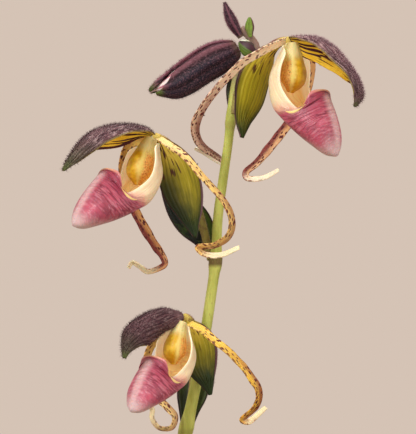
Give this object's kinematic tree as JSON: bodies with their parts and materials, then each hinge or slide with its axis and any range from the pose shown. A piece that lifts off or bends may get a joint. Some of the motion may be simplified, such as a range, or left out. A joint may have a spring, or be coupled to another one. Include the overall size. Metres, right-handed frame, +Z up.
{
  "type": "potted slipper orchid",
  "caption": "Slipper orchid in a round clay pot: strap leaves and one upright flowering stem with open pouched flowers and closed buds.",
  "frame": {"origin": "middle of the pot's flat underside", "axes": "+Z up, the flowers face the -Y side, +X to their right as seen from there"},
  "size_m": [0.6345, 0.176, 0.566],
  "materials": {
    "clay": "matt unglazed terracotta",
    "bark": "rough dry bark",
    "leaf": "smooth, waxy, faintly mottled",
    "stem": "matt, short soft hairs",
    "bract": "smooth, dark-edged",
    "hood": "soft, hairy, dark purple",
    "sepal": "satin, veined",
    "petal": "satin, spotted",
    "pouch": "satin, net-veined",
    "column": "waxy, hairy sides",
    "bud": "soft, hairy, ridged"
  },
  "bodies": {
    "root": {"pot": "clay", "potting_mix": "bark", "flower_stem": "stem", "leaf_1": "leaf", "leaf_2": "leaf", "leaf_3": "leaf", "leaf_4": "leaf", "leaf_5": "leaf", "leaf_6": "leaf", "upper_flower_ovary": "stem", "upper_flower_column": "column", "upper_flower_pouch": "pouch", "upper_flower_dorsal_sepal": "hood", "upper_flower_petal_left": "petal", "upper_flower_petal_right": "petal", "upper_flower_synsepal": "sepal", "upper_flower_bract": "bract", "middle_flower_ovary": "stem", "middle_flower_column": "column", "middle_flower_pouch": "pouch", "middle_flower_dorsal_sepal": "hood", "middle_flower_petal_left": "petal", "middle_flower_petal_right": "petal", "middle_flower_synsepal": "sepal", "middle_flower_bract": "bract", "lower_flower_ovary": "stem", "lower_flower_column": "column", "lower_flower_pouch": "pouch", "lower_flower_dorsal_sepal": "hood", "lower_flower_petal_left": "petal", "lower_flower_petal_right": "petal", "lower_flower_synsepal": "sepal", "lower_flower_bract": "bract", "bud_pouch": "pouch", "bud_upper_sepal": "bud", "bud_lower_sepal": "bud", "bud_stalk": "stem", "bud_bract": "bract", "small_bud": "bud", "small_bud_bract": "bract"}
  },
  "joints": []
}
